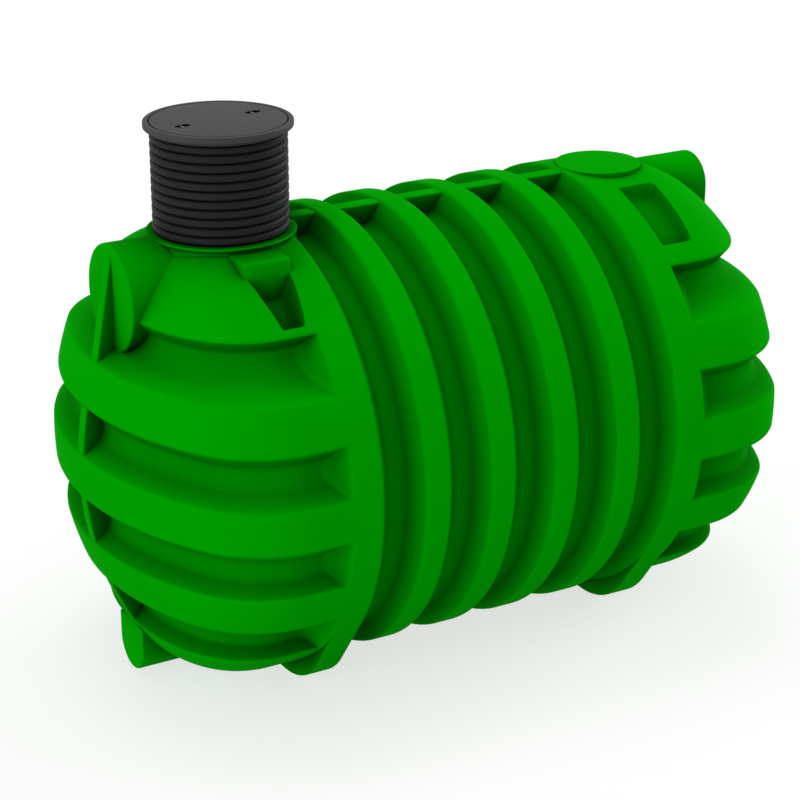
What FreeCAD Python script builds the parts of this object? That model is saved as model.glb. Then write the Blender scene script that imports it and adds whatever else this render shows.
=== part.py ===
import FreeCAD, Part
import math
import os

# Underground water tank lying on its side: a ringed barrel, two domed ends with level ribs,
# a manway riser with a lift-out cover near one end and a blank access pad near the other.
# X runs along the tank with the manway towards -X, Z is up and the floor is z = 0.

# Barrel
RING_RADIUS = 1050.0
RING_COUNT = 6
RING_PITCH = 334.0
RING_CREST = 116.0
END_RING_CREST = 128.0
GROOVE_DEPTH = 100.0
FLANK_RUN = 78.0
WALL = 12.0
FOOT_DROP = 10.0

# Domed ends
END_STRAIGHT = 187.0
KNUCKLE_RADIUS = 500.0
CROWN_RADIUS = 1545.0
END_RIB_PITCH = 430.0
END_GROOVE_HEIGHT = 234.0
END_RIB_OFFSET = -15.0
END_GROOVE_COUNT = 4

# Inlet and outlet bosses, and the foot fin under each
BOSS_PROUD = 6.0
BOSS_START = 95.0
BOSS_DROP = 15.0
INLET_WIDTH = 490.0
INLET_HEIGHT = 490.0
OUTLET_WIDTH = 294.0
OUTLET_HEIGHT = 482.0
FIN_HALF_WIDTH = 125.0
FIN_DROP = 20.0
FIN_BACK = 26.0
FIN_START = 88.0

# Spines
SPINE_HALF_WIDTH = 33.0
SPINE_DROP = 8.0
TOP_BAR_DROP = 6.0
TOP_BAR_HALF_WIDTH = 42.0

# Pockets in the hoods beside the end rings, which widen upwards from a level sill,
# and the shelf over each front one
POCKET_OFFSET = 112.0
POCKET_INNER_Y = 295.0
POCKET_SILL = 5.0
REAR_POCKET_RISE = 73.0
REAR_POCKET_LENGTH = 171.0
REAR_POCKET_DRAFT = 5.5
REAR_POCKET_DEPTH = 60.0
FRONT_POCKET_RISE = 28.0
FRONT_POCKET_LENGTH = 110.0
FRONT_POCKET_DRAFT = 16.0
FRONT_POCKET_DEPTH = 95.0
SHELF_DROP = 42.0
SHELF_OUTER_Y = 465.0
SHELF_LEAN = 20.0
SHELF_LAP = 12.0

# Ring feet
FOOT_TANGENT = 36.0
FOOT_CORNER = 430.0

# Access pad over the rear end
PAD_OFFSET = 100.0
PAD_RADIUS = 208.0
PAD_RISE = 4.0

# Manway
MANWAY_OFFSET = 109.0
COLLAR_RADIUS = 337.0
COLLAR_DROP = 16.0
COLLAR_LIP = 14.0
COLLAR_UNDERCUT = 14.0
RISER_RADIUS = 305.0
RISER_BORE = 276.0
RISER_HEIGHT = 449.0
CORRUGATION_COUNT = 11
CORRUGATION_DEPTH = 12.0
CORRUGATION_FLAT = 0.66
FRAME_RADIUS = 332.0
FRAME_HEIGHT = 44.0
FRAME_RIM = 24.0
FRAME_TAPER = 18.0
LID_GAP = 5.0
LID_THICKNESS = 26.0
LIFT_POCKET_OFFSET = 188.0
LIFT_POCKET_TURN = 10.0
LIFT_POCKET_LENGTH = 76.0
LIFT_POCKET_WIDTH = 40.0
LIFT_POCKET_DEPTH = 16.0
LIFT_BAR_DIAMETER = 9.0
LIFT_BAR_DROP = 2.0

# Places that follow from the sizes, with heights measured from the tank's axis
V = FreeCAD.Vector
AXIS_HEIGHT = RING_RADIUS + FOOT_DROP
FLANK_ANGLE = math.atan2(GROOVE_DEPTH, FLANK_RUN)
END_EDGE = (RING_COUNT - 1) / 2 * RING_PITCH - RING_CREST / 2 + END_RING_CREST
CYLINDER_HALF = END_EDGE + END_STRAIGHT
FAR = 3.0 * (CYLINDER_HALF + RING_RADIUS)
BOSS_TOP = RING_RADIUS - BOSS_DROP
BOSS_ROOT = END_EDGE + BOSS_START
FIN_BOTTOM = RING_RADIUS - FIN_DROP
FIN_ROOT = CYLINDER_HALF + FIN_START
SHELF_TOP = RING_RADIUS - SHELF_DROP
POCKET_X = END_EDGE + POCKET_OFFSET
PAD_X = END_EDGE + PAD_OFFSET
MANWAY_X = -END_EDGE - MANWAY_OFFSET
COLLAR_TOP = RING_RADIUS - COLLAR_DROP
FRAME_BASE = COLLAR_TOP + RISER_HEIGHT
LID_TOP = FRAME_BASE + FRAME_HEIGHT


def box(x_low, x_high, y_low, y_high, z_low, z_high):
    return Part.makeBox(x_high - x_low, y_high - y_low, z_high - z_low, V(x_low, y_low, z_low))


def revolve_about_x(points):
    corners = [V(x, 0, r) for x, r in points]
    face = Part.Face(Part.makePolygon(corners + corners[:1]))
    return face.revolve(V(0, 0, 0), V(1, 0, 0), 360)


def revolve_about_z(points, x):
    corners = [V(x + r, 0, z) for r, z in points]
    face = Part.Face(Part.makePolygon(corners + corners[:1]))
    return face.revolve(V(x, 0, 0), V(0, 0, 1), 360)


def fused(shapes):
    return shapes[0].multiFuse(shapes[1:]).removeSplitter() if len(shapes) > 1 else shapes[0]


def mirrored(shape):
    return shape.mirror(V(0, 0, 0), V(1, 0, 0))


def edge_shift(inset):
    # How far a crest edge moves in when the wall is inset at right angles all round
    return inset * math.tan(FLANK_ANGLE / 2)


def ring_spans(inset=0.0):
    shift = edge_shift(inset)
    spans = []
    for index in range(RING_COUNT):
        centre = (index - (RING_COUNT - 1) / 2) * RING_PITCH
        low, high = centre - RING_CREST / 2, centre + RING_CREST / 2
        if index == 0:
            low -= END_RING_CREST - RING_CREST
        if index == RING_COUNT - 1:
            high += END_RING_CREST - RING_CREST
        spans.append((low + shift, high - shift))
    return spans


def barrel(inset):
    crest = RING_RADIUS - inset
    floor = crest - GROOVE_DEPTH
    outline = []
    for low, high in ring_spans(inset):
        outline += [(low - FLANK_RUN, floor), (low, crest), (high, crest), (high + FLANK_RUN, floor)]
    return revolve_about_x([(outline[0][0], 0)] + outline + [(outline[-1][0], 0)])


def dome_centre():
    # Distance from the crown's centre out to the end of the plain cylinder
    return math.sqrt((CROWN_RADIUS - KNUCKLE_RADIUS) ** 2 - (RING_RADIUS - KNUCKLE_RADIUS) ** 2)


def dome_points(inset):
    # Apex, crown middle, joint, knuckle middle and rim of the torispherical end
    reach = CROWN_RADIUS - KNUCKLE_RADIUS
    centre_r = RING_RADIUS - KNUCKLE_RADIUS
    lean = math.asin(centre_r / reach)
    crown_x = CYLINDER_HALF - dome_centre()
    crown = CROWN_RADIUS - inset
    knuckle = KNUCKLE_RADIUS - inset
    middle = (lean + math.pi / 2) / 2
    return [
        V(crown_x + crown, 0, 0),
        V(crown_x + crown * math.cos(lean / 2), 0, crown * math.sin(lean / 2)),
        V(crown_x + crown * math.cos(lean), 0, crown * math.sin(lean)),
        V(CYLINDER_HALF + knuckle * math.cos(middle), 0, centre_r + knuckle * math.sin(middle)),
        V(CYLINDER_HALF, 0, RING_RADIUS - inset),
    ]


def half_envelope(inset, start):
    # The smooth outline of the +X end from the plane x = start outwards
    apex, crown, joint, knuckle, rim = dome_points(inset)
    edges = [
        Part.Arc(apex, crown, joint).toShape(),
        Part.Arc(joint, knuckle, rim).toShape(),
        Part.makeLine(rim, V(start, 0, rim.z)),
        Part.makeLine(V(start, 0, rim.z), V(start, 0, 0)),
        Part.makeLine(V(start, 0, 0), apex),
    ]
    return Part.Face(Part.Wire(edges)).revolve(V(0, 0, 0), V(1, 0, 0), 360)


def end_rib_spans(inset=0.0):
    # Level ribs of an end from the bottom up; the lowest and the highest run off the end
    shift = edge_shift(inset)
    half = END_GROOVE_HEIGHT / 2 + shift
    centres = groove_centres()
    lows = [-FAR] + [centre + half for centre in centres]
    highs = [centre - half for centre in centres] + [FAR]
    return list(zip(lows, highs))


def groove_centres():
    first = END_RIB_OFFSET - (END_GROOVE_COUNT - 1) / 2 * END_RIB_PITCH
    return [first + index * END_RIB_PITCH for index in range(END_GROOVE_COUNT)]


def sloped_side(crest, crest_z, floor, floor_z):
    wires = [crest.slice(V(0, 0, 1), crest_z)[0], floor.slice(V(0, 0, 1), floor_z)[0]]
    return Part.makeLoft(wires, True, True)


def rear_end(inset):
    # Solid of the +X end with its level grooves, from the middle of the last ring outwards
    start = (RING_COUNT - 1) / 2 * RING_PITCH
    crest = half_envelope(inset, start)
    floor = half_envelope(inset + GROOVE_DEPTH, start)
    pieces = [floor]
    for low, high in end_rib_spans(inset):
        pieces.append(crest.common(box(start, FAR, -FAR, FAR, low, high)))
        if low > -FAR:
            pieces.append(sloped_side(crest, low, floor, low - FLANK_RUN))
        if high < FAR:
            pieces.append(sloped_side(crest, high, floor, high + FLANK_RUN))
    return fused(pieces)


def hood_edge():
    # Height of the hood's lower edge
    return end_rib_spans()[-1][0]


def on_crest(offset):
    # Height of the crest this far from the centre line, or its distance out at this height
    return math.sqrt(RING_RADIUS ** 2 - offset ** 2)


def pocket_half_length(rise, length, draft, height):
    # Half of a pocket's length at this height, from its length where its outer edge meets the crest
    return length / 2 + (height - hood_edge() - rise) * math.tan(math.radians(draft))


def hood_pockets(inset, rise, length, draft, depth):
    # Pockets sunk in the rear hood either side of the centre line, close to the last ring,
    # with their outer edge this rise above the hood's lower edge
    outer = on_crest(hood_edge() + rise) + inset
    lowest = hood_edge() - POCKET_SILL - inset
    widen = inset / math.cos(math.radians(draft))
    low = pocket_half_length(rise, length, draft, lowest) + widen
    high = pocket_half_length(rise, length, draft, RING_RADIUS) + widen
    outline = [(-low, lowest), (low, lowest), (high, RING_RADIUS), (-high, RING_RADIUS)]
    corners = [V(POCKET_X + x, POCKET_INNER_Y - inset, z) for x, z in outline]
    face = Part.Face(Part.makePolygon(corners + corners[:1]))
    cut = face.extrude(V(0, outer - POCKET_INNER_Y + inset, 0))
    cut = cut.cut(half_envelope(depth + inset, 0))
    return [cut, cut.mirror(V(0, 0, 0), V(0, 1, 0))]


def tank_solid(inset):
    plain = rear_end(inset)
    rear_pockets = hood_pockets(
        inset, REAR_POCKET_RISE, REAR_POCKET_LENGTH, REAR_POCKET_DRAFT, REAR_POCKET_DEPTH)
    front_pockets = hood_pockets(
        inset, FRONT_POCKET_RISE, FRONT_POCKET_LENGTH, FRONT_POCKET_DRAFT, FRONT_POCKET_DEPTH)
    rear = plain.cut(rear_pockets)
    front = mirrored(plain.cut(front_pockets))
    return fused([barrel(inset), rear, front])


def crown_x(height):
    # Where the crown of the rear end is at this height on its centre line
    return CYLINDER_HALF - dome_centre() + math.sqrt(CROWN_RADIUS ** 2 - height ** 2)


def boss_face():
    # The stubs end a little in front of the hood's lower edge
    return crown_x(hood_edge()) + BOSS_PROUD


def boss(inset, width, height):
    # Blank stub at the top of the rear end, round or taller than wide
    radius = width / 2 - inset
    length = boss_face() - inset - BOSS_ROOT
    centre = BOSS_TOP - height / 2
    rise = (height - width) / 2
    pieces = [Part.makeCylinder(radius, length, V(BOSS_ROOT, 0, centre + rise), V(1, 0, 0))]
    if rise > 0:
        pieces.append(Part.makeCylinder(radius, length, V(BOSS_ROOT, 0, centre - rise), V(1, 0, 0)))
        pieces.append(box(BOSS_ROOT, BOSS_ROOT + length, -radius, radius, centre - rise, centre + rise))
    return fused(pieces)


def fin():
    # Foot fin at the bottom of the rear end, round underneath and no higher than the sole's edge
    round_z = -FIN_BOTTOM + FIN_HALF_WIDTH
    sole_edge = end_rib_spans()[0][1]
    length = boss_face() - FIN_BACK - FIN_ROOT
    heel = Part.makeCylinder(FIN_HALF_WIDTH, length, V(FIN_ROOT, 0, round_z), V(1, 0, 0))
    web = box(FIN_ROOT, FIN_ROOT + length, -FIN_HALF_WIDTH, FIN_HALF_WIDTH, round_z, sole_edge)
    return fused([heel, web])


def spine(boss_height):
    # Upright fin on the middle of the rear end, filling the grooves to just under the ribs,
    # with a head that leans back up the face of the boss
    neck_z = end_rib_spans()[-2][1]
    neck_x = crown_x(neck_z) - SPINE_DROP
    face = boss_face()
    slab = box(END_EDGE, FAR, -SPINE_HALF_WIDTH, SPINE_HALF_WIDTH, -FIN_BOTTOM, neck_z)
    lower = half_envelope(SPINE_DROP, END_EDGE).common(slab)
    middle_z = BOSS_TOP - boss_height / 2
    outline = [
        (END_EDGE, neck_z), (neck_x, neck_z), (face, BOSS_TOP), (face, middle_z), (END_EDGE, middle_z)]
    corners = [V(x, -SPINE_HALF_WIDTH, z) for x, z in outline]
    head = Part.Face(Part.makePolygon(corners + corners[:1])).extrude(V(0, 2 * SPINE_HALF_WIDTH, 0))
    return fused([lower, head])


def top_bars():
    low, high = ring_spans()[0][1], ring_spans()[-1][0]
    tube = Part.makeCylinder(RING_RADIUS - TOP_BAR_DROP, high - low, V(low, 0, 0), V(1, 0, 0))
    return tube.common(box(low, high, -TOP_BAR_HALF_WIDTH, TOP_BAR_HALF_WIDTH, 0, FAR))


def across(point):
    # The same point on the other side of the centre line
    return V(point.x, -point.y, point.z)


def ring_foot(low, high):
    # Flat foot under an end ring: tangents off the ring, rounded corners and a level sole
    sole = -AXIS_HEIGHT
    turn = math.radians(FOOT_TANGENT)
    leave = V(low, -RING_RADIUS * math.cos(turn), -RING_RADIUS * math.sin(turn))
    along = V(0, math.sin(turn), -math.cos(turn))
    corner = leave + along * ((sole - leave.z) / along.z)
    reach = FOOT_CORNER * math.tan((math.pi / 2 - turn) / 2)
    first = corner - along * reach
    last = corner + V(0, reach, 0)
    centre = V(low, last.y, sole + FOOT_CORNER)
    halfway = (first + last) / 2 - centre
    middle = centre + halfway * (FOOT_CORNER / halfway.Length)
    edges = [
        Part.makeLine(leave, first),
        Part.Arc(first, middle, last).toShape(),
        Part.makeLine(last, across(last)),
        Part.Arc(across(last), across(middle), across(first)).toShape(),
        Part.makeLine(across(first), across(leave)),
        Part.makeLine(across(leave), leave),
    ]
    block = Part.Face(Part.Wire(edges)).extrude(V(high - low, 0, 0))
    return block.cut(Part.makeCylinder(RING_RADIUS, high - low, V(low, 0, 0), V(1, 0, 0)))


def riser_profile():
    pitch = RISER_HEIGHT / CORRUGATION_COUNT
    slope = pitch * (1 - CORRUGATION_FLAT) / 2
    valley = RISER_RADIUS - CORRUGATION_DEPTH
    points = [(RISER_BORE, COLLAR_TOP), (valley, COLLAR_TOP)]
    for index in range(CORRUGATION_COUNT):
        low = COLLAR_TOP + index * pitch
        high = low + pitch
        points += [(RISER_RADIUS, low + slope), (RISER_RADIUS, high - slope), (valley, high)]
    return points + [(RISER_BORE, FRAME_BASE)]


def cover_frame():
    seat = LID_TOP - LID_THICKNESS
    opening = FRAME_RADIUS - FRAME_RIM
    return revolve_about_z([
        (RISER_BORE, FRAME_BASE), (RISER_RADIUS, FRAME_BASE), (FRAME_RADIUS, FRAME_BASE + FRAME_TAPER),
        (FRAME_RADIUS, LID_TOP), (opening, LID_TOP), (opening, seat), (RISER_BORE, seat)], MANWAY_X)


def turned_on_lid(shape):
    return shape.rotated(V(MANWAY_X, 0, 0), V(0, 0, 1), LIFT_POCKET_TURN)


def lift_pocket(x):
    # Round-ended hand hold sunk in the lid
    radius = LIFT_POCKET_WIDTH / 2
    reach = LIFT_POCKET_LENGTH / 2 - radius
    floor = LID_TOP - LIFT_POCKET_DEPTH
    ends = [Part.makeCylinder(radius, LIFT_POCKET_DEPTH, V(x + side * reach, 0, floor)) for side in (-1, 1)]
    middle = box(x - reach, x + reach, -radius, radius, floor, LID_TOP)
    return turned_on_lid(fused(ends + [middle]))


def lift_places():
    return [MANWAY_X - LIFT_POCKET_OFFSET, MANWAY_X + LIFT_POCKET_OFFSET]


def cover_lid():
    radius = FRAME_RADIUS - FRAME_RIM - LID_GAP
    disc = Part.makeCylinder(radius, LID_THICKNESS, V(MANWAY_X, 0, LID_TOP - LID_THICKNESS))
    return disc.cut([lift_pocket(x) for x in lift_places()])


def lift_bars():
    # A bar across the middle of each hand hold
    radius = LIFT_BAR_DIAMETER / 2
    level = LID_TOP - LIFT_BAR_DROP - radius
    bars = []
    for x in lift_places():
        start = V(x, -LIFT_POCKET_WIDTH / 2, level)
        bars.append(turned_on_lid(Part.makeCylinder(radius, LIFT_POCKET_WIDTH, start, V(0, 1, 0))))
    return Part.makeCompound(bars)


def collar(keep_out):
    # Level seat of the riser, moulded with a neck under its lip
    base = RING_RADIUS - 2 * GROOVE_DEPTH
    neck = COLLAR_RADIUS - COLLAR_UNDERCUT
    lip = COLLAR_TOP - COLLAR_LIP
    ring = revolve_about_z([
        (RISER_BORE, base), (neck, base), (neck, lip), (COLLAR_RADIUS, lip),
        (COLLAR_RADIUS, COLLAR_TOP), (RISER_BORE, COLLAR_TOP)], MANWAY_X)
    return ring.cut(keep_out)


def shelves(keep_out):
    # Flat shoulders that bridge each front pocket from the collar to the first ring
    reach = pocket_half_length(
        FRONT_POCKET_RISE, FRONT_POCKET_LENGTH, FRONT_POCKET_DRAFT, on_crest(SHELF_OUTER_Y))
    back = -POCKET_X - reach
    inner = POCKET_INNER_Y - SHELF_LAP
    foot = SHELF_OUTER_Y + SHELF_LEAN
    floor = math.sqrt((RING_RADIUS - FRONT_POCKET_DEPTH) ** 2 - foot ** 2) - SHELF_LAP
    outline = [(inner, floor), (inner, SHELF_TOP), (SHELF_OUTER_Y, SHELF_TOP), (foot, floor)]
    corners = [V(back, y, z) for y, z in outline]
    block = Part.Face(Part.makePolygon(corners + corners[:1])).extrude(V(-END_EDGE - back, 0, 0))
    block = block.cut(keep_out)
    return Part.makeCompound(block.Solids + block.mirror(V(0, 0, 0), V(0, 1, 0)).Solids)


def build():
    seat = Part.makeCylinder(COLLAR_RADIUS, FAR, V(MANWAY_X, 0, COLLAR_TOP - WALL))
    outer = tank_solid(0.0).cut(seat)
    inner = tank_solid(WALL)
    outlet = boss(0.0, OUTLET_WIDTH, OUTLET_HEIGHT)
    inlet = mirrored(boss(0.0, INLET_WIDTH, INLET_HEIGHT)).cut(seat)
    bore = Part.makeCylinder(RISER_BORE, FAR, V(MANWAY_X, 0, 0))
    shell = outer.cut([inner, outlet, inlet, bore])
    nodes = {}
    spans = ring_spans()
    for index, (low, high) in enumerate(spans):
        first = low if index == 0 else low - FLANK_RUN
        last = high if index == RING_COUNT - 1 else high + FLANK_RUN
        nodes["ring_%d" % (index + 1)] = shell.common(box(first, last, -FAR, FAR, -FAR, FAR))
        if index < RING_COUNT - 1:
            following = spans[index + 1][0] - FLANK_RUN
            nodes["waist_%d" % (index + 1)] = shell.common(box(last, following, -FAR, FAR, -FAR, FAR))
    cuts = [-FAR] + groove_centres() + [FAR]
    names = ["sole", "lower_rib", "middle_rib", "upper_rib"]
    for name, low, high in zip(names, cuts[:-2], cuts[1:-1]):
        nodes["rear_" + name] = shell.common(box(END_EDGE, FAR, -FAR, FAR, low, high))
        nodes["front_" + name] = shell.common(box(-FAR, -END_EDGE, -FAR, FAR, low, high))
    for side, low, high in (("right", -FAR, 0), ("left", 0, FAR)):
        nodes["rear_hood_" + side] = shell.common(box(END_EDGE, FAR, low, high, cuts[-2], FAR))
        nodes["front_hood_" + side] = shell.common(box(-FAR, -END_EDGE, low, high, cuts[-2], FAR))
    nodes["outlet_boss"] = outlet.cut([boss(WALL, OUTLET_WIDTH, OUTLET_HEIGHT), inner])
    nodes["inlet_boss"] = inlet.cut([mirrored(boss(WALL, INLET_WIDTH, INLET_HEIGHT)), inner, bore])
    rear_fin = fin().cut(outer)
    nodes["rear_fin"] = rear_fin
    nodes["front_fin"] = mirrored(rear_fin)
    nodes["rear_spine"] = spine(OUTLET_HEIGHT).cut([outer, outlet, fin()])
    nodes["front_spine"] = mirrored(spine(INLET_HEIGHT)).cut([outer, inlet, mirrored(fin())])
    nodes["front_foot"] = ring_foot(*spans[0])
    nodes["rear_foot"] = ring_foot(*spans[-1])
    pad = Part.makeCylinder(PAD_RADIUS, RING_RADIUS + PAD_RISE, V(PAD_X, 0, 0))
    nodes["access_pad"] = pad.cut([outer, outlet])
    nodes["manway_collar"] = collar([outer, inlet])
    nodes["top_bars"] = top_bars().cut([outer, nodes["manway_collar"], bore, seat])
    nodes["pocket_shelves"] = shelves([outer, nodes["manway_collar"]])
    nodes["manway_riser"] = revolve_about_z(riser_profile(), MANWAY_X)
    nodes["cover_frame"] = cover_frame()
    nodes["cover_lid"] = cover_lid()
    nodes["lift_bars"] = lift_bars()
    return nodes


os.makedirs("parts", exist_ok=True)
for name, shape in build().items():
    shape.translate(V(0, 0, AXIS_HEIGHT))
    print(name, len(shape.Solids), shape.isValid(), shape.BoundBox)
    shape.exportStep(os.path.join("parts", name + ".step"))
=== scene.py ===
import math
from collections import namedtuple

import bmesh
import bpy
import numpy as np
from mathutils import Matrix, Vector


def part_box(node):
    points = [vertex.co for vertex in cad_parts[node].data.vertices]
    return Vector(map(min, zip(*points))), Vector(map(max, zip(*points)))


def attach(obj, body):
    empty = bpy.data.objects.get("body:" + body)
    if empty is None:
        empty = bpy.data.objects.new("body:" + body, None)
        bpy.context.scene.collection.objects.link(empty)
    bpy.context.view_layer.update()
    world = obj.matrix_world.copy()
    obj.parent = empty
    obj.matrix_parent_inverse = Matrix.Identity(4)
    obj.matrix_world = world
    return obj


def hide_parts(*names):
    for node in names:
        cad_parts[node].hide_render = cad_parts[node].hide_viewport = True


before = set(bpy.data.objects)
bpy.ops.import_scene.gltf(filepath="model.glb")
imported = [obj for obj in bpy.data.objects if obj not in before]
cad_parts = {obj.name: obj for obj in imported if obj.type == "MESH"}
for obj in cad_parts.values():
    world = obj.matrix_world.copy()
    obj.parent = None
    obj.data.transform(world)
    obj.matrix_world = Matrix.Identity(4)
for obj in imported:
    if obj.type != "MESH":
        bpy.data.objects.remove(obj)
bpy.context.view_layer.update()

# Underground water tank: a ringed barrel, domed ends with level ribs, pipe stubs,
# a corrugated manway riser with its cover, and a blank access pad.
# Each moulded piece stands for the solid of the same name, with its edges rounded.

# Sizes of the tank in metres, read from the frame, with heights measured from its axis
RING_COUNT = 6
AXIS_Z = (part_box("waist_1")[0].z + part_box("waist_1")[1].z) / 2
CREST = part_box("ring_2")[1].y
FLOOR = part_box("waist_1")[1].y
DEPTH = CREST - FLOOR
END_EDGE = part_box("ring_6")[1].x
BOSS_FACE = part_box("outlet_boss")[1].x
BOSS_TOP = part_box("outlet_boss")[1].z - AXIS_Z
OUTLET_WIDTH = 2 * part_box("outlet_boss")[1].y
INLET_WIDTH = 2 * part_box("inlet_boss")[1].y
FIN_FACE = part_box("rear_fin")[1].x
FIN_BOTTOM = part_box("rear_fin")[0].z - AXIS_Z
FIN_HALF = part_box("rear_fin")[1].y
SPINE_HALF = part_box("rear_spine")[1].y
TOP_BAR_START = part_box("top_bars")[0].x
TOP_BAR_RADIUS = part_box("top_bars")[1].z - AXIS_Z
TOP_BAR_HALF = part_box("top_bars")[1].y
SHELF_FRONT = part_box("pocket_shelves")[0].x
SHELF_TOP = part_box("pocket_shelves")[1].z - AXIS_Z
FOOT_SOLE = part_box("front_foot")[0].z - AXIS_Z

# Sizes of the manway and the pad read from the frame, with heights measured from the ground
LID_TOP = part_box("cover_lid")[1].z
LID_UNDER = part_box("cover_lid")[0].z
LID_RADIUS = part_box("cover_lid")[1].y
FRAME_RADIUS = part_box("cover_frame")[1].y
FRAME_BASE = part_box("cover_frame")[0].z
RISER_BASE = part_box("manway_riser")[0].z
RISER_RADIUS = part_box("manway_riser")[1].y
MANWAY_X = (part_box("cover_lid")[0].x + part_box("cover_lid")[1].x) / 2
PAD_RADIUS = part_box("access_pad")[1].y
PAD_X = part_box("access_pad")[0].x + PAD_RADIUS
PAD_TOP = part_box("access_pad")[1].z

# Sizes of the mouldings between those
WALL = 0.012
FLANK_RUN = 0.078
CREST_ROUND = 0.030
FLOOR_ROUND = 0.075
END_STRAIGHT = 0.187
KNUCKLE_RADIUS = 0.500
CROWN_RADIUS = 1.545
GROOVE_CENTRES = (-0.660, -0.230, 0.200, 0.630)
GROOVE_HALF = 0.117
OUTLET_HEIGHT = 0.482
INLET_HEIGHT = 0.490
STUB_ROUND = 0.012
SPINE_DROP = 0.008
SPINE_DEEP = 0.160
SPINE_TIP_DROP = 0.030
EDGE_ROUND = 0.008
SHELF_ROUND = 0.014
SHELF_ROOT = 0.014
GROOVE_END_SHARE = 0.35
FOOT_TANGENT = math.radians(36)
FOOT_CORNER = 0.430
PAD_ROUND = 0.005
COLLAR_RADIUS = 0.337
COLLAR_LIP = 0.014
COLLAR_UNDERCUT = 0.014
COLLAR_FLARE = 0.022
COLLAR_FLARE_DROP = 0.075
COLLAR_NECK_ROUND = 0.030
COLLAR_UNDER_ROUND = 0.008
COLLAR_EDGE_ROUND = 0.005
COLLAR_TOP_ROUND = 0.007
RISER_BORE = 0.276
CORRUGATIONS = 11
CORRUGATION_DEPTH = 0.012
CORRUGATION_EDGE_SHARE = 0.32
FRAME_TAPER = 0.018
FRAME_UNDER_ROUND = 0.004
FRAME_TOP_ROUND = 0.006
FRAME_SEAT_ROUND = 0.003
LID_GAP = 0.005
LID_UNDER_ROUND = 0.002
LID_TOP_ROUND = 0.003
LIFT_OFFSET = 0.188
LIFT_TURN = math.radians(10)
LIFT_LENGTH = 0.076
LIFT_WIDTH = 0.040
LIFT_DEPTH = 0.016
LIFT_BAR_RADIUS = 0.0045
LIFT_BAR_DROP = 0.002

# Pockets in the hoods: the rise of their outer edge above the hood's lower edge, their length there,
# how far their ends lean, and their depth
Pocket = namedtuple("Pocket", "rise length draft depth")
POCKETS = {
    "rear": Pocket(0.073, 0.171, math.radians(5.5), 0.060),
    "front": Pocket(0.028, 0.110, math.radians(16), 0.095),
}
POCKET_REACH = 0.112
POCKET_X = END_EDGE + POCKET_REACH
POCKET_INNER_Y = 0.295
POCKET_SILL = 0.005
POCKET_NOSE_RUN = 0.045
POCKET_INNER_RUN = 0.025
POCKET_OUTER_RUN = 0.060
SHELF_INNER_Y = 0.283
SHELF_OUTER_Y = 0.465
SHELF_LEAN = 0.020
SHELF_DEEP = 0.250

# Where the smooth outline of an end turns from cylinder to knuckle to crown
CYLINDER = END_EDGE + END_STRAIGHT
KNUCKLE_CENTRE = CREST - KNUCKLE_RADIUS
LEAN = math.asin(KNUCKLE_CENTRE / (CROWN_RADIUS - KNUCKLE_RADIUS))
CROWN_X = CYLINDER - (CROWN_RADIUS - KNUCKLE_RADIUS) * math.cos(LEAN)
HOOD_EDGE = GROOVE_CENTRES[-1] + GROOVE_HALF
SOLE_EDGE = GROOVE_CENTRES[0] - GROOVE_HALF
FLANK_SLOPE = DEPTH / FLANK_RUN

# Fineness of the meshes
AROUND = 192
ARC_STEPS = 7
BEVEL_STEPS = 3
BEVEL_ANGLE = math.radians(30)
STUB_STEPS = 24
FIN_STEPS = 33
BAR_STEPS = 9
FOOT_ARC_STEPS = 24
FOOT_STEP = 0.03
BAND_STEPS = 20
ROD_STEPS = 16
RING_COLUMNS = 8
POCKET_COLUMNS = 40
NOSE_COLUMNS = 8
DOME_COLUMNS = 52
DOME_SAMPLES = 240
ROW_STEP = 0.022
HOOD_ROW_STEP = 0.007
SPINE_STEPS = 70
CORNER_SHARE = 0.49
TINY = 1e-4
MERGE = 1e-6
COLLAPSE = 1e-7
SHARP = math.radians(42)

# Materials: clouds in the colour, painted shade in the recesses, gloss and grain
CLOUD_SCALE = 3.0
CLOUD_DETAIL = 4.0
CLOUD_ENDS = (0.30, 0.70)
PAINTED_SHADE_SAMPLES = 8
PAINTED_SHADE_POWER = 1.8
GLOSS_SPREAD = 0.06
GRAIN_DETAIL = 3.0
GRAIN_HEIGHT = 0.002
STEEL_GLOSS = (0.35, 0.60)
STEEL_GRAIN_SCALE = 400.0
STEEL_GRAIN_DETAIL = 2.0

# Light, floor and camera
WORLD_FILL = 0.61
WORLD_SEEN = 1.0
SUN_SPREAD = math.radians(30)
SUNS = {
    "left_sun": ((-0.97, -0.22, 0.10), 0.90),
    "right_sun": ((0.95, 0.10, 0.28), 1.42),
    "top_sun": ((0.00, 0.30, 0.95), 0.54),
}
FLOOR_REACH = 40.0
FLOOR_GREY = 0.35
FLOOR_BOUNCE = 0.24
FLOOR_GLOW = 0.70
SENSOR = 36.0
LENS = 103.264
CAMERA_PLACE = (-5.1749, -8.8848, 5.1241)
CAMERA_AZIMUTH = math.radians(-29.7421)
CAMERA_ELEVATION = math.radians(21.533)


# Outlines and meshes


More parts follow.
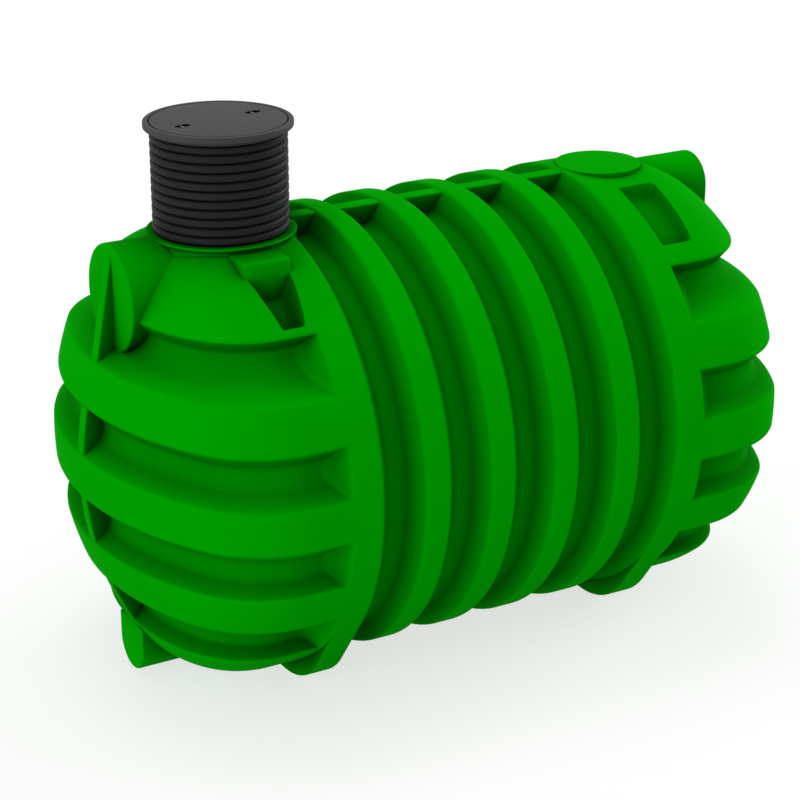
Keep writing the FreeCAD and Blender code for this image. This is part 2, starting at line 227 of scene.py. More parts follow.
def rounded(points, radii, steps=ARC_STEPS):
    """An open outline with each inner corner turned into an arc of its radius."""
    points = [np.array(point, float) for point in points]
    outline = [points[0]]
    for before, corner, after, radius in zip(points, points[1:], points[2:], radii):
        back, ahead = before - corner, after - corner
        back_length, ahead_length = np.linalg.norm(back), np.linalg.norm(ahead)
        back, ahead = back / back_length, ahead / ahead_length
        half = math.acos(np.clip(back @ ahead, -1, 1)) / 2
        reach = min(radius / math.tan(half), CORNER_SHARE * back_length, CORNER_SHARE * ahead_length)
        radius = reach * math.tan(half)
        middle = (back + ahead) / np.linalg.norm(back + ahead)
        centre = corner + middle * radius / math.sin(half)
        start, end = corner + back * reach - centre, corner + ahead * reach - centre
        turn = math.pi - 2 * half
        for step in range(steps + 1):
            share = step / steps
            blend = math.sin((1 - share) * turn) * start + math.sin(share * turn) * end
            outline.append(centre + blend / math.sin(turn))
    return outline + [points[-1]]


def divided(points, longest):
    """The same outline with points added where they lie further apart than this."""
    outline = [points[0]]
    for before, after in zip(points, points[1:]):
        count = max(1, math.ceil(np.linalg.norm(after - before) / longest - TINY))
        for step in range(1, count + 1):
            outline.append(before + (after - before) * step / count)
    return outline


def inward(points, distance):
    """The outline moved to its right by this distance."""
    points = np.array(points)
    along = np.gradient(points, axis=0)
    along /= np.linalg.norm(along, axis=1)[:, None]
    return points + distance * np.stack([along[:, 1], -along[:, 0]], axis=1)


def grid_faces(rows, columns, wrap_rows=False, wrap_columns=False):
    """Faces of a grid of points, closed on itself where it wraps."""
    last_row = rows if wrap_rows else rows - 1
    last_column = columns if wrap_columns else columns - 1
    faces = []
    for row in range(last_row):
        above = (row + 1) % rows
        for column in range(last_column):
            beside = (column + 1) % columns
            faces.append((row * columns + column, row * columns + beside,
                          above * columns + beside, above * columns + column))
    return faces


def add_mesh(name, vertices, faces):
    """A new piece from points and faces, with points that coincide merged."""
    mesh = bpy.data.meshes.new(name)
    mesh.from_pydata([tuple(vertex) for vertex in vertices], [], faces)
    piece = bpy.data.objects.new(name, mesh)
    bpy.context.scene.collection.objects.link(piece)
    work = bmesh.new()
    work.from_mesh(mesh)
    bmesh.ops.remove_doubles(work, verts=work.verts, dist=MERGE)
    bmesh.ops.dissolve_degenerate(work, edges=work.edges, dist=COLLAPSE)
    work.to_mesh(mesh)
    work.free()
    return piece


def add_solid(name, vertices, faces):
    """A closed piece with all its faces turned outward."""
    piece = add_mesh(name, vertices, faces)
    work = bmesh.new()
    work.from_mesh(piece.data)
    bmesh.ops.recalc_face_normals(work, faces=work.faces)
    work.to_mesh(piece.data)
    work.free()
    return piece


def apply_modifiers(piece):
    shown = piece.evaluated_get(bpy.context.evaluated_depsgraph_get())
    mesh = bpy.data.meshes.new_from_object(shown)
    piece.modifiers.clear()
    piece.data = mesh


def thicken(piece):
    """Gives a sheet the tank's wall on its inner side."""
    wall = piece.modifiers.new("wall", "SOLIDIFY")
    wall.thickness = WALL
    wall.offset = -1
    apply_modifiers(piece)


def bevel(piece, width):
    edge = piece.modifiers.new("edge", "BEVEL")
    edge.width = width
    edge.segments = BEVEL_STEPS
    edge.limit_method = "ANGLE"
    edge.angle_limit = BEVEL_ANGLE
    apply_modifiers(piece)


def cut(piece, cutter):
    hole = piece.modifiers.new("hole", "BOOLEAN")
    hole.operation = "DIFFERENCE"
    hole.solver = "EXACT"
    hole.object = cutter
    apply_modifiers(piece)


def joined(name, pieces):
    """Several loose solids as one piece."""
    with bpy.context.temp_override(active_object=pieces[0], selected_editable_objects=pieces):
        bpy.ops.object.join()
    pieces[0].name = name
    return pieces[0]


def finish(piece, node, material, body="tank"):
    """Shades a piece, gives it its material and lets it stand for its node on the frame."""
    piece.data.shade_smooth()
    piece.data.set_sharp_from_angle(angle=SHARP)
    piece.data.materials.clear()
    piece.data.materials.append(material)
    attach(piece, body)
    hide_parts(node)


def revolve_x(name, outline):
    """A closed outline of (x, radius) turned about the tank's axis."""
    outline = np.array(outline)
    angles = np.arange(AROUND) * 2 * math.pi / AROUND
    x = np.repeat(outline[:, 0], AROUND)
    y = np.outer(outline[:, 1], np.cos(angles)).ravel()
    z = np.outer(outline[:, 1], np.sin(angles)).ravel() + AXIS_Z
    return add_solid(name, np.stack([x, y, z], axis=1), grid_faces(len(outline), AROUND, True, True))


def revolve_z(name, outline, centre_x, closed=True):
    """An outline of (radius, z) turned about an upright line at centre_x."""
    outline = np.array(outline)
    angles = np.arange(AROUND) * 2 * math.pi / AROUND
    x = np.outer(outline[:, 0], np.cos(angles)).ravel() + centre_x
    y = np.outer(outline[:, 0], np.sin(angles)).ravel()
    z = np.repeat(outline[:, 1], AROUND)
    return add_solid(name, np.stack([x, y, z], axis=1), grid_faces(len(outline), AROUND, closed, True))


# Barrel


def ring_span(index):
    low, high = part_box("ring_%d" % index)
    return low.x, high.x


def barrel_outline():
    """The rounded outer line of all the rings and waists, as (x, radius)."""
    points, radii = [(ring_span(1)[0], CREST)], []
    for index in range(1, RING_COUNT):
        end, start = ring_span(index)[1], ring_span(index + 1)[0]
        points += [(end - FLANK_RUN, CREST), (end, FLOOR), (start, FLOOR), (start + FLANK_RUN, CREST)]
        radii += [CREST_ROUND, FLOOR_ROUND, FLOOR_ROUND, CREST_ROUND]
    points.append((ring_span(RING_COUNT)[1], CREST))
    return np.array(rounded(points, radii, 2 * ARC_STEPS))


def outline_between(outline, low, high):
    """The stretch of an outline between two places along the tank."""
    inside = outline[(outline[:, 0] > low + TINY) & (outline[:, 0] < high - TINY)]
    ends = [(x, np.interp(x, outline[:, 0], outline[:, 1])) for x in (low, high)]
    return np.array([ends[0]] + [tuple(point) for point in inside] + [ends[1]])


def make_barrel(material, shaft):
    """The rings and waists, as rings of wall turned about the axis."""
    outline = barrel_outline()
    names = ["ring_%d" % index for index in range(1, RING_COUNT + 1)]
    names += ["waist_%d" % index for index in range(1, RING_COUNT)]
    for name in names:
        low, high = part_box(name)[0].x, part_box(name)[1].x
        outer = outline_between(outline, low, high)
        inner = inward(outer, WALL)
        inner[0, 0], inner[-1, 0] = low, high
        piece = revolve_x(name + "_skin", np.concatenate([outer, inner[::-1]]))
        if name in ("ring_1", "waist_1"):
            cut(piece, shaft)
        finish(piece, name, material)


# Domed ends


def outline_radius(x, inset):
    """Distance from the axis of an end's smooth outline, moved in by inset."""
    knuckle = np.sqrt(np.maximum((KNUCKLE_RADIUS - inset) ** 2 - (x - CYLINDER) ** 2, 0)) + KNUCKLE_CENTRE
    crown = np.sqrt(np.maximum((CROWN_RADIUS - inset) ** 2 - (x - CROWN_X) ** 2, 0))
    joint = CYLINDER + (KNUCKLE_RADIUS - inset) * math.cos(LEAN)
    return np.where(x <= CYLINDER, CREST - inset, np.where(x <= joint, knuckle, crown))


def front_x(z, inset):
    """Where that outline ends on the centre line at this height."""
    if abs(z) <= (CROWN_RADIUS - inset) * math.sin(LEAN):
        return CROWN_X + math.sqrt((CROWN_RADIUS - inset) ** 2 - z ** 2)
    reach = (KNUCKLE_RADIUS - inset) ** 2 - (abs(z) - KNUCKLE_CENTRE) ** 2
    return CYLINDER + math.sqrt(max(reach, 0))


def soft_min(first, second, width):
    """The lesser of two values, blended where they differ by less than the width."""
    near = np.maximum(width - np.abs(first - second), 0)
    return np.minimum(first, second) - near ** 2 / (4 * width + TINY)


def flank_inset(x):
    """Depth below the crest of the end ring's outer flank."""
    edge = END_EDGE + CREST_ROUND / 2
    line = np.array(rounded([(END_EDGE, 0), (edge, 0), (edge + FLANK_RUN, DEPTH)], [CREST_ROUND]))
    return np.where(x < line[-1, 0], np.interp(x, line[:, 0], line[:, 1]), (x - edge) * FLANK_SLOPE)


def pocket_sides(pocket, z):
    """Where a pocket begins and ends along the tank at a crest point of this height."""
    half = pocket.length / 2 + (max(z, HOOD_EDGE) - HOOD_EDGE - pocket.rise) * math.tan(pocket.draft)
    return max(POCKET_X - half, END_EDGE + CREST_ROUND / 2), POCKET_X + half


def pocket_wall(inside, run):
    """Share of a pocket's depth this far inside a wall that curves into the floor over its run."""
    return 1 - (1 - np.clip(inside / run, 0, 1)) ** 2


def pocket_depth(pocket, x, y, low, high):
    """Depth of a pocket below the hood at these places."""
    outer_y = math.sqrt(CREST ** 2 - (HOOD_EDGE + pocket.rise) ** 2)
    depth = pocket.depth * pocket_wall(x - low, pocket.depth / FLANK_SLOPE)
    depth *= pocket_wall(high - x, POCKET_NOSE_RUN)
    depth *= pocket_wall(y - POCKET_INNER_Y, POCKET_INNER_RUN)
    return depth * pocket_wall(outer_y - y, POCKET_OUTER_RUN)


def row_columns(pocket, z, inset):
    """Places along the first stretch of a row, closer together across a pocket and on both its sides."""
    low, high = pocket_sides(pocket, z)
    last = CYLINDER + 0.5 * min(front_x(z, inset) - CYLINDER, END_STRAIGHT)
    high = min(high, last - TINY)
    eased = 0.5 - 0.5 * np.cos(np.linspace(0, math.pi, POCKET_COLUMNS + 1))
    return np.concatenate([
        np.linspace(END_EDGE, low, RING_COLUMNS)[:-1],
        low + (high - low) * eased,
        np.linspace(high, last, NOSE_COLUMNS)[1:],
    ])


def nose_points(start, z, inset):
    """Evenly spaced points of a row from this place along the tank round to the centre line."""
    turn = np.linspace(0, math.pi / 2, DOME_SAMPLES)
    nose = start + (front_x(z, inset) - start) * np.sin(turn)
    nose_y = np.sqrt(np.maximum(outline_radius(nose, inset) ** 2 - z ** 2, 0))
    nose_y[-1] = 0
    length = np.concatenate([[0], np.cumsum(np.hypot(np.diff(nose), np.diff(nose_y)))])
    places = np.linspace(0, length[-1], DOME_COLUMNS)[1:]
    heights = np.full(len(places), z)
    return np.stack([np.interp(places, length, nose), np.interp(places, length, nose_y), heights], axis=1)


def half_row(pocket, z, inset, on_hood):
    """Points of one level row of an end from the end ring round to the centre line."""
    x = row_columns(pocket, z, inset)
    radius = outline_radius(x, 0)
    if on_hood:
        y = np.sqrt(np.maximum(radius ** 2 - z ** 2, 0))
        depth = pocket_depth(pocket, x, y, *pocket_sides(pocket, z))
        sunk = np.sqrt(np.maximum((radius - depth) ** 2 - y ** 2, 0))
        heights = -soft_min(-sunk, np.full_like(x, POCKET_SILL - HOOD_EDGE), POCKET_SILL)
    else:
        local = soft_min(np.full_like(x, inset), flank_inset(x), GROOVE_END_SHARE * inset)
        sunk_radius = outline_radius(x, inset)
        heights = z * (CREST - local) / (CREST - inset)
        y = np.sqrt(np.maximum((sunk_radius + inset - local) ** 2 - heights ** 2, 0))
    return np.concatenate([np.stack([x, y, heights], axis=1), nose_points(x[-1], z, inset)])


def rib_profile(low, high):
    """Rounded (height, inset) line from the middle of one groove to the middle of the next."""
    flat = GROOVE_HALF - FLANK_RUN
    points, radii = [], []
    if low is not None:
        points += [(low - flat, DEPTH), (low + flat, DEPTH), (low + GROOVE_HALF, 0)]
        radii += [FLOOR_ROUND, CREST_ROUND]
    else:
        points.append((high - 2 * GROOVE_HALF, 0))
    if high is not None:
        points += [(high - GROOVE_HALF, 0), (high - flat, DEPTH), (high + flat, DEPTH)]
        radii += [CREST_ROUND, FLOOR_ROUND]
    else:
        points.append((low + 2 * GROOVE_HALF, 0))
    line = [point for point in rounded(points, radii)
            if (low is None or point[0] > low + TINY) and (high is None or point[0] < high - TINY)]
    ends = [np.array((place, DEPTH)) for place in (low, high) if place is not None]
    line = ends[:1] * (low is not None) + line + ends[-1:] * (high is not None)
    return divided(line, ROW_STEP)


def crest_heights(stops, step):
    """Heights of evenly spaced rows over the crest between each stop and the next."""
    heights = []
    for start, end in zip(stops, stops[1:]):
        first, last = math.asin(start / CREST), math.asin(min(end / CREST, 1))
        count = max(1, round((last - first) * CREST / step))
        for index in range(1, count + 1):
            heights.append(CREST * math.sin(first + (last - first) * index / count))
    return heights


def end_rows(name, pocket):
    """All (height, inset, whether on the hood) rows of one piece of an end, from the bottom up."""
    order = ["sole", "lower_rib", "middle_rib", "upper_rib", "hood"].index(name)
    cuts = (None, *GROOVE_CENTRES, None)
    rows = [(z, inset, False) for z, inset in rib_profile(cuts[order], cuts[order + 1])]
    if name == "hood":
        rows = [row for row in rows if row[0] < HOOD_EDGE + CREST_ROUND]
        inner_z = math.sqrt(CREST ** 2 - POCKET_INNER_Y ** 2)
        stops = [rows[-1][0], HOOD_EDGE + pocket.rise, inner_z, CREST]
        rows += [(z, 0, True) for z in crest_heights(stops, HOOD_ROW_STEP)]
    if name == "sole":
        rows = [row for row in rows if row[0] > SOLE_EDGE - CREST_ROUND]
        rows = [(-z, 0, False) for z in crest_heights([-rows[0][0], CREST], ROW_STEP)][::-1] + rows
    return rows


def make_end_piece(name, end, side, material, shaft):
    """One rib, sole or half hood of an end, as a sheet of rows given its wall."""
    pocket = POCKETS[end]
    half = np.array([half_row(pocket, *row) for row in end_rows(name, pocket)])
    mirror = half * (1, -1, 1)
    whole = np.concatenate([mirror, half[:, -2::-1]], axis=1)
    points = {"both": whole, "right": mirror, "left": half[:, ::-1]}[side]
    if end == "front":
        points = (points * (-1, 1, 1))[:, ::-1]
    node = "%s_%s" % (end, name) if side == "both" else "%s_%s_%s" % (end, name, side)
    rows, columns = points.shape[:2]
    piece = add_mesh(node + "_skin", points.reshape(-1, 3) + (0, 0, AXIS_Z), grid_faces(rows, columns))
    thicken(piece)
    if end == "front" and name == "hood":
        cut(piece, shaft)
    finish(piece, node, material)


def make_ends(material, shaft):
    for end in ("front", "rear"):
        for name in ("sole", "lower_rib", "middle_rib", "upper_rib"):
            make_end_piece(name, end, "both", material, shaft)
        for side in ("right", "left"):
            make_end_piece("hood", end, side, material, shaft)


# Stubs, fins, spines, bars, feet, shelves and pad


def obround(width, height):
    """Points and outward directions of an upright rounded slot, round it once."""
    radius, rise = width / 2, max(height - width, 0) / 2
    angles = np.linspace(0, math.pi, STUB_STEPS)
    top = [(radius * math.cos(a), rise + radius * math.sin(a), math.cos(a), math.sin(a)) for a in angles]
    below = [(-y, -z, -out_y, -out_z) for y, z, out_y, out_z in top]
    return np.array(top + below)


def make_boss(node, width, height, sign, material, shaft):
    """A blank stub along X with a rounded edge round its flat face, sunk in the end at its root."""
    outline = obround(width, height)
    centre = AXIS_Z + BOSS_TOP - height / 2
    rings = [(CYLINDER, 0.0)]
    for turn in np.linspace(0, math.pi / 2, ARC_STEPS + 1):
        rings.append((BOSS_FACE - STUB_ROUND * (1 - math.sin(turn)), STUB_ROUND * (1 - math.cos(turn))))
    vertices = []
    for x, inset in rings:
        for y, z, out_y, out_z in outline:
            vertices.append((sign * x, y - inset * out_y, centre + z - inset * out_z))
    count = len(outline)
    faces = grid_faces(len(rings), count, False, True)
    faces += [tuple(range(count)), tuple(range(len(vertices) - count, len(vertices)))]
    piece = add_solid(node + "_skin", vertices, faces)
    if sign < 0:
        cut(piece, shaft)
    finish(piece, node, material)


def slab(name, outline, low, high, place):
    """A flat outline given thickness from low to high; place puts (u, v, w) in the frame."""
    count = len(outline)
    vertices = [place(u, v, w) for w in (low, high) for u, v in outline]
    faces = [(i, (i + 1) % count, count + (i + 1) % count, count + i) for i in range(count)]
    faces += [tuple(range(count))[::-1], tuple(range(count, 2 * count))]
    return add_solid(name, vertices, faces)


def make_fin(node, sign, material):
    """Foot fin under an end, round underneath, from the sole's edge down."""
    centre = FIN_BOTTOM + FIN_HALF
    turns = np.linspace(0, math.pi, FIN_STEPS)
    outline = [(FIN_HALF, SOLE_EDGE - EDGE_ROUND)]
    outline += [(FIN_HALF * math.cos(turn), centre - FIN_HALF * math.sin(turn)) for turn in turns]
    outline.append((-FIN_HALF, SOLE_EDGE - EDGE_ROUND))
    piece = slab(node + "_skin", outline, CYLINDER + FLANK_RUN, FIN_FACE,
                 lambda y, z, x: (sign * x, y, AXIS_Z + z))
    bevel(piece, EDGE_ROUND)
    finish(piece, node, material)


def make_spine(node, sign, material):
    """Upright fin in the grooves of an end, with a head that leans back up the face of the boss."""
    neck = GROOVE_CENTRES[-1] - GROOVE_HALF
    heights = np.linspace(SOLE_EDGE - EDGE_ROUND, neck, SPINE_STEPS)
    edge = [(front_x(z, SPINE_DROP), z) for z in heights] + [(BOSS_FACE, BOSS_TOP - SPINE_TIP_DROP)]
    back = [(x - SPINE_DEEP, z) for x, z in edge]
    piece = slab(node + "_skin", edge + back[::-1], -SPINE_HALF, SPINE_HALF,
                 lambda x, z, y: (sign * x, y, AXIS_Z + z))
    bevel(piece, EDGE_ROUND)
    finish(piece, node, material)


def make_top_bars(material):
    """Bars along the top that bridge the waists, a little under the crests."""
    lean = math.asin(TOP_BAR_HALF / TOP_BAR_RADIUS)
    turns = np.linspace(-lean, lean, BAR_STEPS)
    top = [(TOP_BAR_RADIUS * math.sin(turn), TOP_BAR_RADIUS * math.cos(turn)) for turn in turns]
    outline = top + [(y, z - DEPTH) for y, z in top[::-1]]
    bars = []
    for index in range(1, RING_COUNT):
        low = max(ring_span(index)[1] - FLANK_RUN - CREST_ROUND, TOP_BAR_START)
        high = ring_span(index + 1)[0] + FLANK_RUN + CREST_ROUND
        bar = slab("bar_%d" % index, outline, low, high, lambda y, z, x: (x, y, AXIS_Z + z))
        bevel(bar, EDGE_ROUND)
        bars.append(bar)
    finish(joined("top_bars_skin", bars), "top_bars", material)


def foot_outline():
    """Line of a ring foot from its tangent point to the centre, as (y, z)."""
    leave = np.array([CREST * math.cos(FOOT_TANGENT), -CREST * math.sin(FOOT_TANGENT)])
    along = np.array([-math.sin(FOOT_TANGENT), -math.cos(FOOT_TANGENT)])
    corner = leave + along * (FOOT_SOLE - leave[1]) / along[1]
    return divided(rounded([leave, corner, (0, FOOT_SOLE)], [FOOT_CORNER], FOOT_ARC_STEPS), FOOT_STEP)


def make_feet(material):
    """Flat-soled feet under the end rings, from their soles up to the rings' crests."""
    half = foot_outline()
    outer = [tuple(point) for point in half] + [(-y, z) for y, z in half[-2::-1]]
    seat = CREST - WALL
    inner = [(seat * y / math.hypot(y, z), seat * z / math.hypot(y, z)) for y, z in outer]
    section = outer + inner[::-1]
    count = len(section)
    for node in ("front_foot", "rear_foot"):
        low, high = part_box(node)[0].x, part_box(node)[1].x
        vertices = [(x, y, AXIS_Z + z) for x in (low, high) for y, z in section]
        faces = grid_faces(2, count, False, True)
        for first in (0, count):
            last = first + count - 1
            faces += [(first + i, first + i + 1, last - 1 - i, last - i) for i in range(len(outer) - 1)]
        piece = add_solid(node + "_skin", vertices, faces)
        bevel(piece, EDGE_ROUND)
        finish(piece, node, material)


def make_shelves(material):
    """Level shoulders beside the collar, with a face that leans down into the pocket."""
    low = SHELF_TOP - SHELF_DEEP
    outline = [(SHELF_INNER_Y, low), (SHELF_INNER_Y, SHELF_TOP), (SHELF_OUTER_Y, SHELF_TOP),
               (SHELF_OUTER_Y + SHELF_LEAN, low)]
    shelves = []
    for side in (-1, 1):
        shelf = slab("shelf_%d" % side, outline, SHELF_FRONT - SHELF_ROOT, -END_EDGE,
                     lambda y, z, x: (x, side * y, AXIS_Z + z))
        bevel(shelf, SHELF_ROUND)
        shelves.append(shelf)
    finish(joined("pocket_shelves_skin", shelves), "pocket_shelves", material)


def make_pad(material):
    """Round blank pad on top of the far end."""
    base = AXIS_Z + FLOOR
    outline = rounded([(0, base), (PAD_RADIUS, base), (PAD_RADIUS, PAD_TOP), (0, PAD_TOP)],
                      [TINY, PAD_ROUND])
    finish(revolve_z("access_pad_skin", outline, PAD_X, False), "access_pad", material)


# Manway


def make_collar(material):
    """Moulded collar under the riser: a lip over a neck that flares into the hood."""
    base = AXIS_Z + FLOOR - DEPTH
    neck = COLLAR_RADIUS - COLLAR_UNDERCUT
    under = RISER_BASE - COLLAR_LIP
    foot, foot_top = neck + COLLAR_FLARE, under - COLLAR_FLARE_DROP
    outline = rounded([
        (RISER_BORE, base), (foot, base), (foot, foot_top), (neck, under), (COLLAR_RADIUS, under),
        (COLLAR_RADIUS, RISER_BASE), (RISER_BORE, RISER_BASE)],
        [TINY, COLLAR_NECK_ROUND, COLLAR_UNDER_ROUND, COLLAR_EDGE_ROUND, COLLAR_TOP_ROUND])
    finish(revolve_z("manway_collar_skin", outline, MANWAY_X), "manway_collar", material)


def make_riser(material):
    """Corrugated shaft: wide bands with rounded edges and narrow grooves between them."""
    pitch = (FRAME_BASE - RISER_BASE) / CORRUGATIONS
    outline = [(RISER_BORE, RISER_BASE)]
    for index in range(CORRUGATIONS):
        for share in np.linspace(0, 1, BAND_STEPS + 1)[:-1]:
            edge = min(share, 1 - share) / CORRUGATION_EDGE_SHARE
            groove = CORRUGATION_DEPTH * max(0, 1 - edge) ** 2
            outline.append((RISER_RADIUS - groove, RISER_BASE + (index + share) * pitch))
    outline += [(RISER_RADIUS - CORRUGATION_DEPTH, FRAME_BASE), (RISER_BORE, FRAME_BASE)]
    finish(revolve_z("manway_riser_skin", outline, MANWAY_X), "manway_riser", material)


def make_cover_frame(material):
    """Frame on the riser with a sunk seat for the lid."""
    opening = LID_RADIUS + LID_GAP
    outline = rounded([
        (RISER_BORE, FRAME_BASE), (RISER_RADIUS, FRAME_BASE), (FRAME_RADIUS, FRAME_BASE + FRAME_TAPER),
        (FRAME_RADIUS, LID_TOP), (opening, LID_TOP), (opening, LID_UNDER), (RISER_BORE, LID_UNDER)],
        [TINY, FRAME_UNDER_ROUND, FRAME_TOP_ROUND, FRAME_SEAT_ROUND, TINY])
    finish(revolve_z("cover_frame_skin", outline, MANWAY_X), "cover_frame", material)


def on_lid(along, across, z):
    """A point on the lid by its place along and across the line of the hand holds."""
    x = MANWAY_X + along * math.cos(LIFT_TURN) - across * math.sin(LIFT_TURN)
    return x, along * math.sin(LIFT_TURN) + across * math.cos(LIFT_TURN), z


def make_lid(material, painted_hold_shade, bar_material):
    """Lift-out lid with two sunk hand holds, their floors black plastic as painted shade, and a bar
    across each.
    """
    outline = rounded([(0, LID_UNDER), (LID_RADIUS, LID_UNDER), (LID_RADIUS, LID_TOP), (0, LID_TOP)],
                      [LID_UNDER_ROUND, LID_TOP_ROUND])
    lid = revolve_z("cover_lid_skin", outline, MANWAY_X, False)
    hold = obround(LIFT_WIDTH, LIFT_LENGTH)[:, :2]
    turns = np.linspace(0, 2 * math.pi, ROD_STEPS + 1)[:-1]
    rod = [(LIFT_BAR_RADIUS * math.cos(turn), LIFT_BAR_RADIUS * math.sin(turn)) for turn in turns]
    level = LID_TOP - LIFT_BAR_DROP - LIFT_BAR_RADIUS
    bars = []
    for side in (-1, 1):
        middle = side * LIFT_OFFSET
        cup = slab("cup_%d" % side, hold, LID_TOP - LIFT_DEPTH, LID_TOP + LIFT_DEPTH,
                   lambda u, v, w: on_lid(middle + v, u, w))
        cut(lid, cup)
        bpy.data.objects.remove(cup)
        bars.append(slab("rod_%d" % side, rod, -LIFT_WIDTH / 2, LIFT_WIDTH / 2,
                         lambda u, v, w: on_lid(middle + u, w, level + v)))
    finish(lid, "cover_lid", material, "cover")
    # The floors of the sunk hand holds take the black plastic as painted shade
    lid.data.materials.append(painted_hold_shade)
    for face in lid.data.polygons:
        off_axis = math.hypot(face.center.x - MANWAY_X, face.center.y)
        sunk = LID_TOP - LIFT_DEPTH - TINY < face.center.z < LID_TOP - TINY
        if sunk and off_axis < LIFT_OFFSET + LIFT_LENGTH:
            face.material_index = 1
    finish(joined("lift_bars_skin", bars), "lift_bars", bar_material, "cover")


def manway_cutter():
    """The space of the shaft and of the level seat round it."""
    base, step = AXIS_Z + FLOOR / 2, RISER_BASE - WALL
    seat = COLLAR_RADIUS - COLLAR_UNDERCUT / 2
    outline = [(0, base), (RISER_BORE, base), (RISER_BORE, step), (seat, step), (seat, LID_TOP),
               (0, LID_TOP)]
    return revolve_z("manway_cutter", outline, MANWAY_X, False)


# Finishes


def noise(nodes, links, scale, detail):
    """Noise fixed to the object, as a factor."""
    place = nodes.new("ShaderNodeTexCoord")
    texture = nodes.new("ShaderNodeTexNoise")
    texture.inputs["Scale"].default_value = scale
    texture.inputs["Detail"].default_value = detail
    links.new(place.outputs["Object"], texture.inputs["Vector"])
    return texture.outputs["Fac"]


def painted_recess_shade(nodes, links, reach):
    """Painted shade: a darker factor for the colour in the recesses of the moulding, felt over this
    reach.
    """
    recess = nodes.new("ShaderNodeAmbientOcclusion")
    recess.samples = PAINTED_SHADE_SAMPLES
    recess.inputs["Distance"].default_value = reach
    shade = nodes.new("ShaderNodeMath")
    shade.operation = "POWER"
    shade.inputs[1].default_value = PAINTED_SHADE_POWER
    links.new(recess.outputs["AO"], shade.inputs[0])
    return shade.outputs[0]


def plastic(name, colour, spread, recess, roughness, specular, grain, grain_scale):
    """Moulded plastic with a faint cloud in its colour, painted shade in its recesses, and a fine grain
    in gloss and bump.
    """
    material = bpy.data.materials.new(name)
    material.use_nodes = True
    nodes, links = material.node_tree.nodes, material.node_tree.links
    shader = nodes["Principled BSDF"]
    shader.inputs["Specular IOR Level"].default_value = specular
    tint = nodes.new("ShaderNodeValToRGB")
    for element, place, change in zip(tint.color_ramp.elements, CLOUD_ENDS, (1 - spread, 1 + spread)):
        element.position = place
        element.color = [channel * change for channel in colour] + [1]
    links.new(noise(nodes, links, CLOUD_SCALE, CLOUD_DETAIL), tint.inputs["Fac"])
    tone = nodes.new("ShaderNodeMix")
    tone.data_type = "RGBA"
    tone.blend_type = "MULTIPLY"
    tone.inputs["Factor"].default_value = 1.0
    links.new(tint.outputs["Color"], tone.inputs["A"])
    # The colour is multiplied by the painted shade of the recesses
    links.new(painted_recess_shade(nodes, links, recess), tone.inputs["B"])
    links.new(tone.outputs["Result"], shader.inputs["Base Color"])
    fine = noise(nodes, links, grain_scale, GRAIN_DETAIL)
    gloss = nodes.new("ShaderNodeMapRange")
    gloss.inputs["To Min"].default_value = roughness - GLOSS_SPREAD
    gloss.inputs["To Max"].default_value = roughness + GLOSS_SPREAD
    links.new(fine, gloss.inputs["Value"])
    links.new(gloss.outputs["Result"], shader.inputs["Roughness"])
    bump = nodes.new("ShaderNodeBump")
    bump.inputs["Strength"].default_value = grain
    bump.inputs["Distance"].default_value = GRAIN_HEIGHT
    links.new(fine, bump.inputs["Height"])
    links.new(bump.outputs["Normal"], shader.inputs["Normal"])
    return material


def steel(name, colour):
    """Dull metal with an uneven gloss."""
    material = bpy.data.materials.new(name)
    material.use_nodes = True
    nodes, links = material.node_tree.nodes, material.node_tree.links
    shader = nodes["Principled BSDF"]
    shader.inputs["Base Color"].default_value = (*colour, 1)
    shader.inputs["Metallic"].default_value = 1.0
    gloss = nodes.new("ShaderNodeMapRange")
    gloss.inputs["To Min"].default_value = STEEL_GLOSS[0]
    gloss.inputs["To Max"].default_value = STEEL_GLOSS[1]
    links.new(noise(nodes, links, STEEL_GRAIN_SCALE, STEEL_GRAIN_DETAIL), gloss.inputs["Value"])
    links.new(gloss.outputs["Result"], shader.inputs["Roughness"])
    return material


# Studio


def seen_directly(nodes, links):
    """One for what the camera, mirrors and glass see, and nought for the rays that only light things."""
    path = nodes.new("ShaderNodeLightPath")
    seen = path.outputs["Is Camera Ray"]
    for kind in ("Is Glossy Ray", "Is Transmission Ray"):
        either = nodes.new("ShaderNodeMath")
        either.operation = "MAXIMUM"
        links.new(seen, either.inputs[0])
        links.new(path.outputs[kind], either.inputs[1])
        seen = either.outputs[0]
    return seen


def make_world():
    """Even white light from all round, white where it is seen."""
    world = bpy.data.worlds.new("studio")
    bpy.context.scene.world = world
    world.use_nodes = True
    nodes, links = world.node_tree.nodes, world.node_tree.links
    nodes.clear()
    output = nodes.new("ShaderNodeOutputWorld")
    mix = nodes.new("ShaderNodeMixShader")
    links.new(seen_directly(nodes, links), mix.inputs["Fac"])
    for socket, strength in ((1, WORLD_FILL), (2, WORLD_SEEN)):
        background = nodes.new("ShaderNodeBackground")
        background.inputs["Color"].default_value = (1, 1, 1, 1)
        background.inputs["Strength"].default_value = strength
        links.new(background.outputs[0], mix.inputs[socket])
    links.new(mix.outputs[0], output.inputs["Surface"])


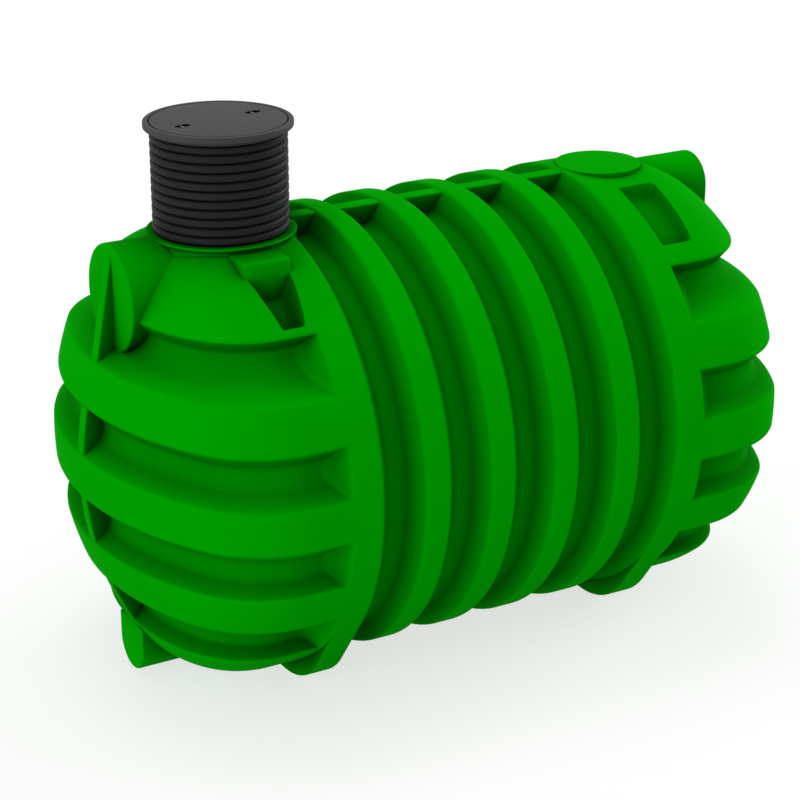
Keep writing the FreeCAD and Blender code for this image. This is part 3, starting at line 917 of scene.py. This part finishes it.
def make_floor():
    """Pale, faintly glowing floor that keeps the tank's shadow and casts none on the tank."""
    corners = [(x * FLOOR_REACH, y * FLOOR_REACH, 0) for x, y in ((-1, -1), (1, -1), (1, 1), (-1, 1))]
    mesh = bpy.data.meshes.new("floor")
    mesh.from_pydata(corners, [], [(0, 1, 2, 3)])
    floor = bpy.data.objects.new("floor", mesh)
    floor.visible_shadow = False
    bpy.context.scene.collection.objects.link(floor)
    material = bpy.data.materials.new("floor")
    material.use_nodes = True
    nodes, links = material.node_tree.nodes, material.node_tree.links
    nodes.clear()
    output = nodes.new("ShaderNodeOutputMaterial")
    lit = nodes.new("ShaderNodeBsdfDiffuse")
    lit.inputs["Color"].default_value = (FLOOR_GREY, FLOOR_GREY, FLOOR_GREY, 1)
    glow = nodes.new("ShaderNodeEmission")
    strength = nodes.new("ShaderNodeMapRange")
    strength.inputs["To Min"].default_value = FLOOR_BOUNCE
    strength.inputs["To Max"].default_value = FLOOR_GLOW
    links.new(seen_directly(nodes, links), strength.inputs["Value"])
    links.new(strength.outputs["Result"], glow.inputs["Strength"])
    both = nodes.new("ShaderNodeAddShader")
    links.new(lit.outputs[0], both.inputs[0])
    links.new(glow.outputs[0], both.inputs[1])
    links.new(both.outputs[0], output.inputs["Surface"])
    mesh.materials.append(material)


def add_sun(name, direction, strength):
    data = bpy.data.lights.new(name, "SUN")
    data.energy = strength
    data.angle = SUN_SPREAD
    sun = bpy.data.objects.new(name, data)
    sun.rotation_euler = (-Vector(direction)).to_track_quat("-Z", "Y").to_euler()
    bpy.context.scene.collection.objects.link(sun)


def make_camera():
    data = bpy.data.cameras.new("camera")
    data.sensor_width = SENSOR
    data.lens = LENS
    camera = bpy.data.objects.new("camera", data)
    camera.location = CAMERA_PLACE
    camera.rotation_euler = (math.pi / 2 - CAMERA_ELEVATION, 0, CAMERA_AZIMUTH)
    bpy.context.scene.collection.objects.link(camera)
    bpy.context.scene.camera = camera


# The materials; recess is the reach of the painted shade in their recesses
green = plastic("green_plastic", (0.0, 0.38, 0.0), spread=0.02, recess=0.30, roughness=0.65,
                specular=0.002, grain=0.08, grain_scale=260.0)
black = plastic("black_plastic", (0.020, 0.020, 0.021), spread=0.10, recess=0.03, roughness=0.55,
                specular=0.06, grain=0.12, grain_scale=300.0)
grey = plastic("grey_plastic", (0.059, 0.059, 0.061), spread=0.05, recess=0.03, roughness=0.65,
               specular=0.10, grain=0.20, grain_scale=420.0)
dull_steel = steel("dull_steel", (0.12, 0.12, 0.125))

# The pieces of the tank and its cover
shaft_space = manway_cutter()
make_barrel(green, shaft_space)
make_ends(green, shaft_space)
make_boss("inlet_boss", INLET_WIDTH, INLET_HEIGHT, -1, green, shaft_space)
make_boss("outlet_boss", OUTLET_WIDTH, OUTLET_HEIGHT, 1, green, shaft_space)
for end_name, end_sign in (("front", -1), ("rear", 1)):
    make_fin(end_name + "_fin", end_sign, green)
    make_spine(end_name + "_spine", end_sign, green)
make_top_bars(green)
make_feet(green)
make_shelves(green)
make_pad(green)
make_collar(green)
make_riser(black)
make_cover_frame(grey)
make_lid(grey, black, dull_steel)
bpy.data.objects.remove(shaft_space)

# The studio
make_floor()
make_world()
for sun_name, (direction, strength) in SUNS.items():
    add_sun(sun_name, direction, strength)
make_camera()
bpy.context.scene.view_settings.view_transform = "Standard"
